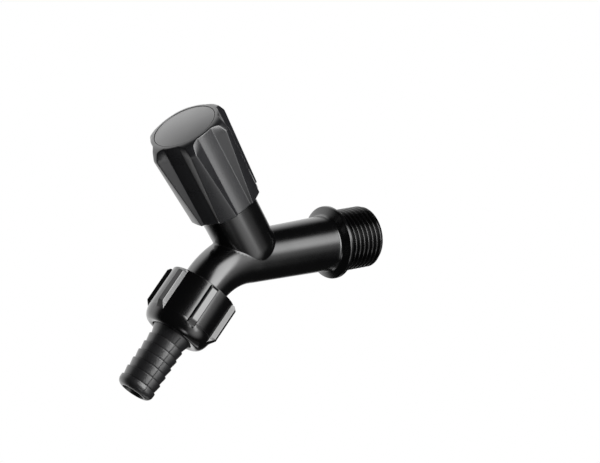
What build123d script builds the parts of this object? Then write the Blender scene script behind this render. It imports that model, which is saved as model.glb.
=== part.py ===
"""Hose tap in moulded plastic: a Y-shaped body with a half-inch wall thread, a screw-down valve
under a six-ridged handle, and a ribbed union nut that clamps a barbed hose tail.

Frame, in millimetres: +X runs out along the wall thread, +Z is up, and the origin is the middle
of the flange face that meets the wall. The tap is drawn closed, with the union nut done up.
"""
import os
from math import asin, cos, degrees, radians, sin, tan

from build123d import *

os.makedirs("parts", exist_ok=True)

# Wall thread, flange and inlet pipe, along the inlet axis.
thread_diameter = 20.955
thread_length = 15.6
thread_pitch = 1.814
thread_depth = 1.162
thread_land = 0.36
thread_shank = 0.85
thread_lead = 1.1
thread_lead_drop = 1.3
thread_chamfer = 0.8
flange_diameter = 24.7
flange_rim = 1.2
flange_cone = 1.5
pipe_diameter = 18.7
inlet_bore = 12.0

# Bend and outlet leg: where the outlet axis crosses the inlet axis, and how far it drops.
outlet_reach = 46.0
outlet_drop = 46.5
bend_radius = 23.5
bend_diameter = 17.3
leg_diameter = 15.3
leg_length = 24.0
leg_thread_height = 1.85
leg_thread_length = 10.0
outlet_bore = 8.8

# Valve neck: where its axis crosses the inlet axis, and how steeply it rises.
neck_reach = 32.9
neck_rise = 59.5
neck_diameter = 18.9
neck_draft = 0.3
neck_length = 32.0
neck_round_centre = 5.0

# Water way through the neck, measured up the neck axis.
seat_bore = 9.0
seat_pocket = 3.0
seat_height = 9.0
seat_lip = 1.1
seat_lip_height = 0.6
chamber_gap = 0.6
port_width = 8.6
port_height = 2.0
port_length = 2.6
port_wall = 0.2
outlet_inset = 1.35

# Valve: how far it lifts, and the pieces stacked on the seat.
valve_lift = 5.0
washer_diameter = 12.0
washer_thickness = 3.0
jumper_rim = 0.55
jumper_plate = 2.0
jumper_skirt = 1.3
jumper_stem_diameter = 4.8
jumper_stem_length = 7.5
washer_screw_diameter = 3.0
washer_screw_head_diameter = 6.0
washer_screw_head = 1.4
washer_screw_reach = 1.5

# Bonnet and spindle.
bonnet_wall = 2.25
bonnet_step = 0.8
bonnet_thread_length = 12.5
bonnet_flange = 1.2
bonnet_hex_height = 2.8
gland_diameter = 12.4
gland_height = 4.0
gasket_thickness = 1.0
spindle_diameter = 8.0
spindle_square = 5.6
spindle_square_length = 6.0
stem_hole_room = 1.5
o_ring_section = 1.6
o_ring_spacing = 3.2

# Handle: plain skirt bore inside, six ridges outside that flare towards the top.
handle_base = 22.6
handle_ridges = 6
handle_ridge_turn = -4.3
handle_skirt_gap = 0.4
handle_wall = 1.35
handle_groove_width = 5.5
handle_ridge_base = 0.65
handle_crest_width = 5.9
handle_ridge_top = 3.15
handle_crest_top_width = 1.4
handle_shoulder_drop = 3.8
handle_ridge_shoulder = 0.42
handle_rim_inset = 0.3
handle_rim_radius = 5.0
handle_crest_round = 0.8
handle_web = 2.2
handle_hub_diameter = 12.6
handle_hub_web = 1.7
handle_rib = 1.2
handle_rib_drop = 6.0

# Cap and screw in the top of the handle.
cap_border = 1.0
cap_recess = 2.4
cap_edge = 2.3
cap_dome = 0.9
cap_edge_round = 0.25
handle_screw_diameter = 4.0
handle_screw_length = 7.0
handle_screw_head_diameter = 7.4
handle_screw_head = 1.8
screw_head_room = 0.4

# Union nut and hose tail, measured down the outlet axis.
nut_lead = 2.4
nut_wall = 1.7
nut_end_wall = 2.4
nut_dome_drop = 5.0
nut_end_land = 1.5
nut_hole_gap = 0.3
nut_hole_chamfer = 0.6
nut_ribs = 6
nut_rib_turn = -4.5
nut_rib_height = 1.8
nut_rib_width = 2.7
nut_rib_inset = 0.45
nut_rib_drop = 4.75
nut_rib_slope = 2.2
nut_rib_edge = 0.3
tail_collar_gap = 0.3
tail_collar = 2.0
tail_bore = 7.8
tail_shank_diameter = 13.8
tail_barbs = 6
tail_barb_diameter = 12.6
tail_barb_step = 0.6
tail_barb_pitch = 3.17
tail_first_barb = 5.55
tail_nose_land = 1.0
tail_nose_diameter = 8.0
tail_nose_length = 2.15

# Clearances: running fits between pieces that move, close fits between pieces that stay put.
running_gap = 0.15
thread_gap = 0.2
close_gap = 0.05
end_gap = 0.3

# Diameters that follow from the sizes above.
leg_thread_diameter = leg_diameter + 2 * leg_thread_height
neck_top_diameter = neck_diameter + 2 * neck_draft
jumper_diameter = washer_diameter + 2 * (close_gap + jumper_rim)
chamber_diameter = jumper_diameter + 2 * chamber_gap
bonnet_thread_diameter = chamber_diameter + 2 * bonnet_step
bonnet_bore_diameter = bonnet_thread_diameter - 2 * bonnet_wall
bonnet_flange_diameter = neck_top_diameter - 2 * close_gap
bonnet_hex = bonnet_flange_diameter * cos(radians(30))
handle_bore = neck_top_diameter + 2 * handle_skirt_gap
handle_groove_across = handle_bore + 2 * handle_wall
handle_crest_across = handle_groove_across + 2 * handle_ridge_base
handle_crest_top_across = handle_groove_across + 2 * handle_ridge_top
cap_diameter = handle_groove_across - 2 * cap_border
handle_rim_flat = cap_diameter - 2 * handle_rim_inset
tail_collar_diameter = leg_thread_diameter - 2 * tail_collar_gap
nut_bore_diameter = leg_thread_diameter + 2 * thread_gap
nut_diameter = nut_bore_diameter + 2 * nut_wall
nut_rib_across = nut_diameter + 2 * nut_rib_height
nut_hole_diameter = tail_shank_diameter + 2 * nut_hole_gap
nut_end_diameter = nut_hole_diameter + 2 * nut_end_land

# Axes worked out from the sizes above.
drop = radians(outlet_drop)
rise = radians(neck_rise)
neck_dir = Vector(-cos(rise), 0, sin(rise))
neck_side = Vector(sin(rise), 0, cos(rise))
outlet_dir = Vector(-cos(drop), 0, -sin(drop))
outlet_side = Vector(-sin(drop), 0, cos(drop))
neck_origin = Vector(-neck_reach, 0, 0)
outlet_origin = Vector(-outlet_reach, 0, 0)
neck_plane = Plane(neck_origin, x_dir=neck_side, z_dir=neck_dir)
outlet_plane = Plane(outlet_origin, x_dir=outlet_side, z_dir=outlet_dir)
neck_profile = Plane(neck_origin, x_dir=neck_side, z_dir=(0, -1, 0))
outlet_profile = Plane(outlet_origin, x_dir=outlet_side, z_dir=(0, -1, 0))
neck_axis = Axis(neck_origin, neck_dir)
outlet_axis = Axis(outlet_origin, outlet_dir)

# Heights up the neck axis.
chamber_floor = seat_height - seat_lip_height
jumper_base = seat_height + washer_thickness
spindle_base = jumper_base + jumper_plate
bonnet_seat = neck_length + gasket_thickness
bonnet_base = neck_length - bonnet_thread_length + gasket_thickness
chamber_top = bonnet_base - end_gap
bonnet_shoulder = bonnet_seat + end_gap
spindle_thread_top = bonnet_shoulder - valve_lift - end_gap
hex_base = bonnet_seat + bonnet_flange
gland_base = hex_base + bonnet_hex_height
gland_top = gland_base + gland_height
square_base = gland_top
spindle_top = square_base + spindle_square_length
hub_base = gland_top + end_gap
hub_floor = spindle_top + end_gap
screw_seat = hub_floor + handle_hub_web
handle_top = screw_seat + handle_screw_head + screw_head_room + cap_recess
cap_seat = handle_top - cap_recess
web_base = cap_seat - handle_web
crest_end = handle_top - handle_shoulder_drop

# Lengths along the outlet axis.
bend_tangent = bend_radius * tan(drop / 2)
bend_start = bend_tangent - outlet_reach
bend_end = outlet_origin + outlet_dir * bend_tangent
leg_thread_start = leg_length - leg_thread_length
collar_start = leg_length + gasket_thickness
collar_end = collar_start + tail_collar
nut_start = leg_thread_start - nut_lead
nut_end = collar_end + nut_end_wall
first_barb = collar_end + tail_first_barb
last_barb = first_barb + (tail_barbs - 1) * tail_barb_pitch
tail_end = last_barb + tail_nose_land + tail_nose_length

# Place where the outlet bore starts: just outside the chamber, measured along the outlet axis.
axes_gap = outlet_reach - neck_reach
axes_sum = sin(rise + drop)
outlet_at_neck = -axes_gap * sin(rise) / axes_sum
port_middle = chamber_floor + port_wall + port_height / 2
port_start = seat_bore / 2 + seat_lip + close_gap
port_reach = chamber_diameter / 2 + port_length
port_origin = neck_origin + neck_dir * port_middle - neck_side * port_start
bore_start = outlet_at_neck + (chamber_diameter / 2 + outlet_inset) / axes_sum


# Body: thread, flange, pipe, bend, outlet leg and neck in one moulding. The wall thread has one ring
# for each turn of the real screw, listed from its end, where a lead-in cuts the crests, to the flange.
thread_root = thread_diameter / 2 - thread_depth
thread_flank = thread_pitch / 2 - thread_land
thread_turns = int((thread_length - thread_shank) / thread_pitch)
thread_line = []
for turn in reversed(range(thread_turns)):
    groove = thread_shank + turn * thread_pitch
    for along in (groove + thread_pitch, groove + thread_pitch - thread_land):
        into_lead = max(0, along - thread_length + thread_lead) / thread_lead
        thread_line.append((along, thread_diameter / 2 - thread_lead_drop * into_lead))
    thread_line.append((groove + thread_flank + thread_land, thread_root))
    thread_line.append((groove + thread_flank, thread_root))
with BuildPart() as body:
    with BuildSketch(Plane.XZ):
        with BuildLine():
            Polyline(
                (bend_start, 0),
                (thread_length, 0),
                (thread_length, thread_diameter / 2 - thread_lead_drop),
                *thread_line,
                (thread_shank, thread_diameter / 2),
                (0, thread_diameter / 2),
                (0, flange_diameter / 2),
                (-flange_rim, flange_diameter / 2),
                (-flange_rim - flange_cone, pipe_diameter / 2),
                (bend_start, bend_diameter / 2),
                close=True,
            )
        make_face()
    revolve(axis=Axis.X)
    with BuildLine(Plane.XZ):
        TangentArc((bend_start, 0), (bend_end.X, bend_end.Z), tangent=(-1, 0))
    with BuildSketch(Plane((bend_start, 0, 0), z_dir=(-1, 0, 0))):
        Circle(bend_diameter / 2)
    with BuildSketch(Plane(bend_end, z_dir=outlet_dir)):
        Circle(leg_diameter / 2)
    sweep(multisection=True)
    with BuildSketch(outlet_profile):
        with BuildLine():
            Polyline(
                (0, bend_tangent),
                (leg_diameter / 2, bend_tangent),
                (leg_diameter / 2, leg_thread_start),
                (leg_thread_diameter / 2, leg_thread_start),
                (leg_thread_diameter / 2, leg_length - thread_chamfer),
                (leg_thread_diameter / 2 - thread_chamfer, leg_length),
                (0, leg_length),
                close=True,
            )
        make_face()
    revolve(axis=outlet_axis)
    # The neck ends below in a round bullet that stands a little proud of the pipe.
    with BuildSketch(neck_profile):
        with BuildLine():
            CenterArc((0, neck_round_centre), neck_diameter / 2, -90, 90)
            Polyline(
                (neck_diameter / 2, neck_round_centre),
                (neck_top_diameter / 2, neck_length),
                (0, neck_length),
                (0, neck_round_centre - neck_diameter / 2),
            )
        make_face()
    revolve(axis=neck_axis)
    # Water way: inlet bore, seat and chamber, port through the chamber wall, outlet bore.
    with BuildSketch(Plane.YZ.offset(thread_length)):
        Circle(inlet_bore / 2)
    extrude(amount=-(thread_length + neck_reach), mode=Mode.SUBTRACT)
    with BuildSketch(neck_profile):
        with BuildLine():
            Polyline(
                (0, -seat_pocket),
                (seat_bore / 2, -seat_pocket),
                (seat_bore / 2, seat_height),
                (seat_bore / 2 + seat_lip, seat_height),
                (seat_bore / 2 + seat_lip, chamber_floor),
                (chamber_diameter / 2, chamber_floor),
                (chamber_diameter / 2, chamber_top),
                (bonnet_thread_diameter / 2 + close_gap, chamber_top),
                (bonnet_thread_diameter / 2 + close_gap, neck_length),
                (0, neck_length),
                close=True,
            )
        make_face()
    revolve(axis=neck_axis, mode=Mode.SUBTRACT)
    with BuildSketch(Plane(port_origin, x_dir=(0, 1, 0), z_dir=-neck_side)):
        SlotOverall(port_width, port_height)
    extrude(amount=port_reach - port_start, mode=Mode.SUBTRACT)
    with BuildSketch(outlet_plane.offset(bore_start)):
        Circle(outlet_bore / 2)
    extrude(amount=leg_length - bore_start, mode=Mode.SUBTRACT)
body.part.label = "body"
export_step(body.part, "parts/body.step")


# Bonnet gasket: flat ring on the rim of the neck.
with BuildPart() as bonnet_gasket:
    with BuildSketch(neck_plane.offset(neck_length)):
        Circle(bonnet_flange_diameter / 2)
        Circle(bonnet_thread_diameter / 2 + close_gap, mode=Mode.SUBTRACT)
    extrude(amount=gasket_thickness)
bonnet_gasket.part.label = "bonnet_gasket"
export_step(bonnet_gasket.part, "parts/bonnet_gasket.step")


# Bonnet: threaded plug, flange and hexagon, with the gland on top.
with BuildPart() as bonnet:
    with BuildSketch(neck_profile):
        with BuildLine():
            Polyline(
                (bonnet_bore_diameter / 2, bonnet_base),
                (bonnet_thread_diameter / 2, bonnet_base),
                (bonnet_thread_diameter / 2, bonnet_seat),
                (bonnet_flange_diameter / 2, bonnet_seat),
                (bonnet_flange_diameter / 2, hex_base),
                (gland_diameter / 2, hex_base),
                (gland_diameter / 2, gland_top),
                (spindle_diameter / 2 + close_gap, gland_top),
                (spindle_diameter / 2 + close_gap, bonnet_shoulder),
                (bonnet_bore_diameter / 2, bonnet_shoulder),
                close=True,
            )
        make_face()
    revolve(axis=neck_axis)
    with BuildSketch(neck_plane.offset(hex_base)):
        RegularPolygon(bonnet_hex / 2, 6, major_radius=False)
        Circle(spindle_diameter / 2 + close_gap, mode=Mode.SUBTRACT)
    extrude(amount=bonnet_hex_height)
bonnet.part.label = "bonnet"
export_step(bonnet.part, "parts/bonnet.step")


# Seat washer: rubber disc that closes the seat.
with BuildPart() as seat_washer:
    with BuildSketch(neck_plane.offset(seat_height)):
        Circle(washer_diameter / 2)
        Circle(washer_screw_diameter / 2 + close_gap, mode=Mode.SUBTRACT)
    extrude(amount=washer_thickness)
seat_washer.part.label = "seat_washer"
export_step(seat_washer.part, "parts/seat_washer.step")


# Jumper: cupped valve plate with a stem that stands in the spindle.
with BuildPart() as jumper:
    with BuildSketch(neck_profile):
        with BuildLine():
            Polyline(
                (washer_screw_diameter / 2 + close_gap, jumper_base),
                (washer_diameter / 2 + close_gap, jumper_base),
                (washer_diameter / 2 + close_gap, jumper_base - jumper_skirt),
                (jumper_diameter / 2, jumper_base - jumper_skirt),
                (jumper_diameter / 2, spindle_base),
                (jumper_stem_diameter / 2, spindle_base),
                (jumper_stem_diameter / 2, spindle_base + jumper_stem_length),
                (0, spindle_base + jumper_stem_length),
                (0, jumper_base + washer_screw_reach + close_gap),
                (washer_screw_diameter / 2 + close_gap, jumper_base + washer_screw_reach + close_gap),
                close=True,
            )
        make_face()
    revolve(axis=neck_axis)
jumper.part.label = "jumper"
export_step(jumper.part, "parts/jumper.step")


# Washer screw: pan head under the washer, shank up into the jumper.
with BuildPart() as washer_screw:
    with BuildSketch(neck_profile):
        with BuildLine():
            Polyline(
                (0, seat_height - washer_screw_head),
                (washer_screw_head_diameter / 2 - washer_screw_head / 2, seat_height - washer_screw_head),
                (washer_screw_head_diameter / 2, seat_height - washer_screw_head / 2),
                (washer_screw_head_diameter / 2, seat_height),
                (washer_screw_diameter / 2, seat_height),
                (washer_screw_diameter / 2, jumper_base + washer_screw_reach),
                (0, jumper_base + washer_screw_reach),
                close=True,
            )
        make_face()
    revolve(axis=neck_axis)
washer_screw.part.label = "washer_screw"
export_step(washer_screw.part, "parts/washer_screw.step")


# Spindle: thread, shaft with two ring grooves, square top, holes for the jumper stem and the screw.
o_ring_middle = (bonnet_shoulder + gland_top) / 2
o_ring_heights = [o_ring_middle - o_ring_spacing / 2, o_ring_middle + o_ring_spacing / 2]
groove_floor = spindle_diameter / 2 - o_ring_section
with BuildPart() as spindle:
    with BuildSketch(neck_profile):
        with BuildLine():
            Polyline(
                (0, spindle_base),
                (bonnet_bore_diameter / 2 - running_gap, spindle_base),
                (bonnet_bore_diameter / 2 - running_gap, spindle_thread_top),
                (spindle_diameter / 2, spindle_thread_top),
                (spindle_diameter / 2, square_base),
                (0, square_base),
                close=True,
            )
        make_face()
    revolve(axis=neck_axis)
    with BuildSketch(neck_plane.offset(square_base)):
        Rectangle(spindle_square, spindle_square)
    extrude(amount=spindle_square_length)
    for height in o_ring_heights:
        with BuildSketch(neck_plane.offset(height - o_ring_section / 2 - close_gap)):
            Circle(spindle_diameter / 2)
            Circle(groove_floor - close_gap, mode=Mode.SUBTRACT)
        extrude(amount=o_ring_section + 2 * close_gap, mode=Mode.SUBTRACT)
    with BuildSketch(neck_plane.offset(spindle_base)):
        Circle(jumper_stem_diameter / 2 + close_gap)
    extrude(amount=jumper_stem_length + stem_hole_room, mode=Mode.SUBTRACT)
    with BuildSketch(neck_plane.offset(spindle_top)):
        Circle(handle_screw_diameter / 2 + close_gap)
    extrude(amount=-(handle_screw_length - handle_hub_web), mode=Mode.SUBTRACT)
spindle.part.label = "spindle"
export_step(spindle.part, "parts/spindle.step")


# O-rings in the two grooves of the spindle.
for name, height in zip(["spindle_o_ring_lower", "spindle_o_ring_upper"], o_ring_heights):
    with BuildPart() as o_ring:
        with BuildSketch(neck_profile):
            with Locations((groove_floor + o_ring_section / 2, height)):
                Circle(o_ring_section / 2)
        revolve(axis=neck_axis)
    o_ring.part.label = name
    export_step(o_ring.part, f"parts/{name}.step")


def ridged_outline(groove_across, crest_across, crest_width):
    """Corners of the handle's outline at one height: for each ridge a groove flat and a crest flat."""
    corners = []
    for ridge in range(handle_ridges):
        crest_turn = radians(handle_ridge_turn + 360 / handle_ridges * ridge)
        groove_turn = crest_turn + radians(180 / handle_ridges)
        crest = (crest_turn, crest_across / 2, crest_width / 2)
        groove = (groove_turn, groove_across / 2, handle_groove_width / 2)
        for turn, apothem, half in (crest, groove):
            for side in (-half, half):
                x = apothem * cos(turn) - side * sin(turn)
                y = apothem * sin(turn) + side * cos(turn)
                corners.append((x, y))
    return corners


# Handle: ridged loft trimmed by a rounded rim, hollow below, with a hub for the square.
# Above the crest end each ridge leans in towards the rim, in the planes of its own sides.
half_step = radians(180 / handle_ridges)
foot_across = handle_groove_across * cos(half_step) + handle_groove_width * sin(half_step)
foot_width = handle_groove_across * sin(half_step) - handle_groove_width * cos(half_step)
shoulder_across = foot_across + handle_ridge_shoulder * (handle_crest_top_across - foot_across)
shoulder_width = foot_width + handle_ridge_shoulder * (handle_crest_top_width - foot_width)
base_outline = ridged_outline(handle_groove_across, handle_crest_across, handle_crest_width)
crest_outline = ridged_outline(handle_groove_across, handle_crest_top_across, handle_crest_top_width)
rim_outline = ridged_outline(handle_groove_across, shoulder_across, shoulder_width)
with BuildPart() as handle:
    with BuildSketch(neck_plane.offset(handle_base)):
        with BuildLine():
            Polyline(*base_outline, close=True)
        make_face()
    with BuildSketch(neck_plane.offset(crest_end)):
        with BuildLine():
            Polyline(*crest_outline, close=True)
        make_face()
    with BuildSketch(neck_plane.offset(handle_top)):
        with BuildLine():
            Polyline(*rim_outline, close=True)
        make_face()
    loft(ruled=True)
    crest_edges = handle.edges().filter_by_position(neck_axis, crest_end - 0.01, crest_end + 0.01)
    fillet(crest_edges.sort_by(SortBy.LENGTH)[:handle_ridges], handle_crest_round)
    with BuildSketch(neck_profile):
        with BuildLine():
            CenterArc((handle_rim_flat / 2, handle_top - handle_rim_radius), handle_rim_radius, 0, 90)
            Polyline(
                (handle_rim_flat / 2, handle_top),
                (0, handle_top),
                (0, handle_base),
                (handle_rim_flat / 2 + handle_rim_radius, handle_base),
                (handle_rim_flat / 2 + handle_rim_radius, handle_top - handle_rim_radius),
            )
        make_face()
    revolve(axis=neck_axis, mode=Mode.INTERSECT)
    with BuildSketch(neck_plane.offset(handle_base)):
        Circle(handle_bore / 2)
    extrude(amount=web_base - handle_base, mode=Mode.SUBTRACT)
    with BuildSketch(neck_plane.offset(hub_base)):
        Circle(handle_hub_diameter / 2)
    extrude(amount=web_base - hub_base)
    with BuildSketch(neck_plane.offset(web_base - handle_rib_drop)):
        with PolarLocations(handle_bore / 4, handle_ridges, handle_ridge_turn):
            Rectangle(handle_bore / 2, handle_rib)
    extrude(amount=handle_rib_drop)
    with BuildSketch(neck_plane.offset(hub_base)):
        Rectangle(spindle_square + 2 * close_gap, spindle_square + 2 * close_gap)
    extrude(amount=hub_floor - hub_base, mode=Mode.SUBTRACT)
    with BuildSketch(neck_plane.offset(hub_floor)):
        Circle(handle_screw_diameter / 2 + close_gap)
    extrude(amount=screw_seat - hub_floor, mode=Mode.SUBTRACT)
    with BuildSketch(neck_plane.offset(screw_seat)):
        Circle(handle_screw_head_diameter / 2 + end_gap)
    extrude(amount=handle_top - screw_seat, mode=Mode.SUBTRACT)
    with BuildSketch(neck_plane.offset(cap_seat)):
        Circle(cap_diameter / 2 + close_gap)
    extrude(amount=cap_recess, mode=Mode.SUBTRACT)
handle.part.label = "handle"
export_step(handle.part, "parts/handle.step")


# Handle screw: pan head on the hub web, shank in the spindle.
with BuildPart() as handle_screw:
    with BuildSketch(neck_profile):
        with BuildLine():
            Polyline(
                (0, screw_seat - handle_screw_length),
                (handle_screw_diameter / 2, screw_seat - handle_screw_length),
                (handle_screw_diameter / 2, screw_seat),
                (handle_screw_head_diameter / 2, screw_seat),
                (handle_screw_head_diameter / 2, screw_seat + handle_screw_head / 2),
                (handle_screw_head_diameter / 2 - handle_screw_head / 2, screw_seat + handle_screw_head),
                (0, screw_seat + handle_screw_head),
                close=True,
            )
        make_face()
    revolve(axis=neck_axis)
handle_screw.part.label = "handle_screw"
export_step(handle_screw.part, "parts/handle_screw.step")


# Handle cap: low-domed disc pressed into the top of the handle.
cap_dome_edge = cap_diameter / 2 - cap_edge_round
cap_dome_radius = (cap_dome_edge**2 + cap_dome**2) / (2 * cap_dome)
cap_dome_sweep = degrees(asin(cap_dome_edge / cap_dome_radius))
with BuildPart() as handle_cap:
    with BuildSketch(neck_profile):
        with BuildLine():
            JernArc((0, cap_seat + cap_edge + cap_dome), (1, 0), cap_dome_radius, -cap_dome_sweep)
            Polyline(
                (0, cap_seat + cap_edge + cap_dome),
                (0, cap_seat),
                (cap_diameter / 2, cap_seat),
                (cap_diameter / 2, cap_seat + cap_edge - cap_edge_round),
                (cap_dome_edge, cap_seat + cap_edge),
            )
        make_face()
    revolve(axis=neck_axis)
handle_cap.part.label = "handle_cap"
export_step(handle_cap.part, "parts/handle_cap.step")


# Tail gasket: flat ring between the outlet leg and the collar of the tail.
with BuildPart() as tail_gasket:
    with BuildSketch(outlet_plane.offset(leg_length)):
        Circle(tail_collar_diameter / 2)
        Circle(outlet_bore / 2 + close_gap, mode=Mode.SUBTRACT)
    extrude(amount=gasket_thickness)
tail_gasket.part.label = "tail_gasket"
export_step(tail_gasket.part, "parts/tail_gasket.step")


# Hose tail: collar, cone, barbs with sharp shoulders towards the tap, rounded nose, straight bore.
barb_crest = tail_barb_diameter / 2
barb_root = barb_crest - tail_barb_step
barb_points = []
for barb in range(tail_barbs):
    shoulder = first_barb + barb * tail_barb_pitch
    barb_points += [(barb_root, shoulder), (barb_crest, shoulder)]
with BuildPart() as hose_tail:
    with BuildSketch(outlet_profile):
        with BuildLine():
            Polyline(
                (tail_nose_diameter / 2, tail_end),
                (tail_bore / 2, tail_end),
                (tail_bore / 2, collar_start),
                (tail_collar_diameter / 2, collar_start),
                (tail_collar_diameter / 2, collar_end),
                (tail_shank_diameter / 2, collar_end),
                (tail_shank_diameter / 2, nut_end - nut_hole_chamfer),
                *barb_points,
                (barb_crest, last_barb + tail_nose_land),
            )
            EllipticalCenterArc(
                (tail_nose_diameter / 2, last_barb + tail_nose_land),
                barb_crest - tail_nose_diameter / 2,
                tail_nose_length,
                start_angle=0,
                arc_size=90,
            )
        make_face()
    revolve(axis=outlet_axis)
hose_tail.part.label = "hose_tail"
export_step(hose_tail.part, "parts/hose_tail.step")


# Union nut: threaded sleeve with a domed end, six ribs outside and a shoulder inside for the collar.
dome_start = nut_end - nut_dome_drop
rib_start = nut_start + nut_rib_inset
rib_end = nut_end - nut_rib_drop
with BuildPart() as union_nut:
    with BuildSketch(outlet_profile):
        with BuildLine():
            Polyline(
                (nut_end_diameter / 2, nut_end),
                (nut_hole_diameter / 2 + nut_hole_chamfer, nut_end),
                (nut_hole_diameter / 2, nut_end - nut_hole_chamfer),
                (nut_hole_diameter / 2, collar_end),
                (nut_bore_diameter / 2, collar_end),
                (nut_bore_diameter / 2, nut_start),
                (nut_diameter / 2 - nut_rib_edge, nut_start),
                (nut_diameter / 2, nut_start + nut_rib_edge),
                (nut_diameter / 2, dome_start),
            )
            EllipticalCenterArc(
                (nut_end_diameter / 2, dome_start),
                nut_diameter / 2 - nut_end_diameter / 2,
                nut_dome_drop,
                start_angle=0,
                arc_size=90,
            )
        make_face()
    revolve(axis=outlet_axis)
    for rib in range(nut_ribs):
        turn = radians(nut_rib_turn + 360 / nut_ribs * rib)
        rib_out = outlet_side * cos(turn) + Vector(0, 1, 0) * sin(turn)
        rib_normal = rib_out.cross(outlet_dir)
        with BuildSketch(Plane(outlet_origin, x_dir=rib_out, z_dir=rib_normal)):
            with BuildLine():
                Polyline(
                    (nut_diameter / 2 - nut_rib_edge, rib_start),
                    (nut_rib_across / 2 - nut_rib_edge, rib_start),
                    (nut_rib_across / 2, rib_start + nut_rib_edge),
                    (nut_rib_across / 2, rib_end),
                    (nut_diameter / 2 - nut_rib_edge, rib_end + nut_rib_slope),
                    close=True,
                )
            make_face()
        extrude(amount=nut_rib_width / 2, both=True)
union_nut.part.label = "union_nut"
export_step(union_nut.part, "parts/union_nut.step")
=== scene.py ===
"""Hose tap in black moulded plastic: the visible pieces, their finishes, and a plain white studio round them."""

from math import atan, cos, pi, radians, sin, tan

import bmesh
import bpy
import numpy as np
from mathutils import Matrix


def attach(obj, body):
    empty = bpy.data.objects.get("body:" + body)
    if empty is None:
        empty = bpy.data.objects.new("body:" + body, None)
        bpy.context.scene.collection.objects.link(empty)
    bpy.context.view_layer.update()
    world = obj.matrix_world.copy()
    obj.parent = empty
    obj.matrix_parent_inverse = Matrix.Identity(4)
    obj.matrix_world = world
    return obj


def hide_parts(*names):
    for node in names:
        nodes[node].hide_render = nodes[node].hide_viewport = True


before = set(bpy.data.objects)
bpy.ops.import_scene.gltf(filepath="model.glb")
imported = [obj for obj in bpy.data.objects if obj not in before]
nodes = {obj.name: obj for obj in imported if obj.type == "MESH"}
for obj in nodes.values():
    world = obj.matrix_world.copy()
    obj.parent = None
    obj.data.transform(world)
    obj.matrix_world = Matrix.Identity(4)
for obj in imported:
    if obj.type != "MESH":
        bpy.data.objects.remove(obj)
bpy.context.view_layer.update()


# Body: the tap's main moulding, with the wall thread, flange, pipe, bend and outlet leg. It is injection moulded in
# black glass-filled plastic round one bent centre line, so its skin is a tube carried along that line. Both of its
# threads are right-hand screws.
mm, weld_gap = 0.001, 2e-7
thread_length, thread_crest, thread_pitch, thread_depth = 15.6, 10.4775, 1.814, 1.162
thread_relief, thread_chamfer, thread_mouth = 0.85, 1.1, 9.15
flange_radius, flange_rim, flange_cone, pipe_radius = 12.35, 1.2, 1.5, 9.35
outlet_reach, outlet_drop, bend_radius, bend_tube = 46.0, radians(46.5), 23.5, 8.65
leg_length, leg_radius, leg_thread_length, leg_crest = 24.0, 7.65, 10.0, 9.5
inlet_bore, inlet_depth, outlet_bore, outlet_depth = 6.0, 40.0, 4.4, 10.0
inlet_eases, inlet_step, end_eases, end_step = [0.3, 0.5], 4, [0.3, 0.3], 3
pipe_eases, pipe_curve, pipe_step = [0.15, 0.3, 0.35, 0.9, 1.5, 1.5], 7, 0.75
thread_start, thread_fade, thread_gap, leg_gap = 0.03, 0.5, 0.1, 0.02
body_columns, thread_row_count, leg_row_count = 192, 196, 61
thread_root = thread_crest - thread_depth
bend_tangent = bend_radius * tan(outlet_drop / 2)
pipe_run = thread_length + outlet_reach - bend_tangent
bend_run = bend_radius * outlet_drop
body_run = pipe_run + bend_run + leg_length - bend_tangent


def centre_line(run):
    """Point and up vector of the body's centre line, by the run from the thread's end: straight along -X, an arc of
    bend_radius downwards, then straight along the outlet. The up vector is square to the line, in the XZ plane."""
    turn = np.clip((run - pipe_run) / bend_radius, 0, outlet_drop)
    past = np.maximum(run - pipe_run - bend_run, 0)
    x = thread_length - np.minimum(run, pipe_run) - bend_radius * np.sin(turn) - past * np.cos(turn)
    z = bend_radius * (np.cos(turn) - 1) - past * np.sin(turn)
    flat = np.zeros_like(run)
    return np.stack([x, flat, z], -1), np.stack([-np.sin(turn), flat, np.cos(turn)], -1)


def eased_line(corners, ease, steps=5):
    """Open line through corners, with each inner corner C replaced by the curve (1-k)^2 A + 2k(1-k) C + k^2 B, where
    A and B lie on its two sides at the corner's ease."""
    corners = np.asarray(corners, float)
    middle = corners[1:-1]
    back = np.broadcast_to(np.asarray(ease, float), len(middle))[:, None]
    before, after = corners[:-2] - middle, corners[2:] - middle
    a = middle + before / np.linalg.norm(before, axis=1, keepdims=True) * back
    b = middle + after / np.linalg.norm(after, axis=1, keepdims=True) * back
    k = np.linspace(0, 1, steps)[:, None, None]
    curves = ((1 - k) ** 2 * a + 2 * k * (1 - k) * middle + k**2 * b).transpose(1, 0, 2).reshape(-1, 2)
    return np.concatenate([corners[:1], curves, corners[-1:]])


def dense_line(line, step):
    """The same line with points added, so that none is further than step from the next: its length is divided
    evenly."""
    reach = np.concatenate([[0], np.cumsum(np.linalg.norm(np.diff(line, axis=0), axis=1))])
    even = np.linspace(0, reach[-1], int(reach[-1] / step) + 2)
    near = np.abs(even[:, None] - reach[None]).min(1) < step / 4
    at = np.sort(np.concatenate([reach, even[~near]]))
    return np.stack([np.interp(at, reach, line[:, 0]), np.interp(at, reach, line[:, 1])], -1)


def screw_radius(run, turn, crest, depth):
    """Radius of a right-hand screw: crest less half the depth times one minus w, where w is the wave
    1.2 s - 0.2 s^3 of s = sin(2 pi run / pitch + turn). Its crests and roots are as round as a pipe thread's."""
    swing = np.sin(2 * pi * run / thread_pitch + turn)
    wave = 1.2 * swing - 0.2 * swing**3
    return crest - depth * (1 - wave) / 2


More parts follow.
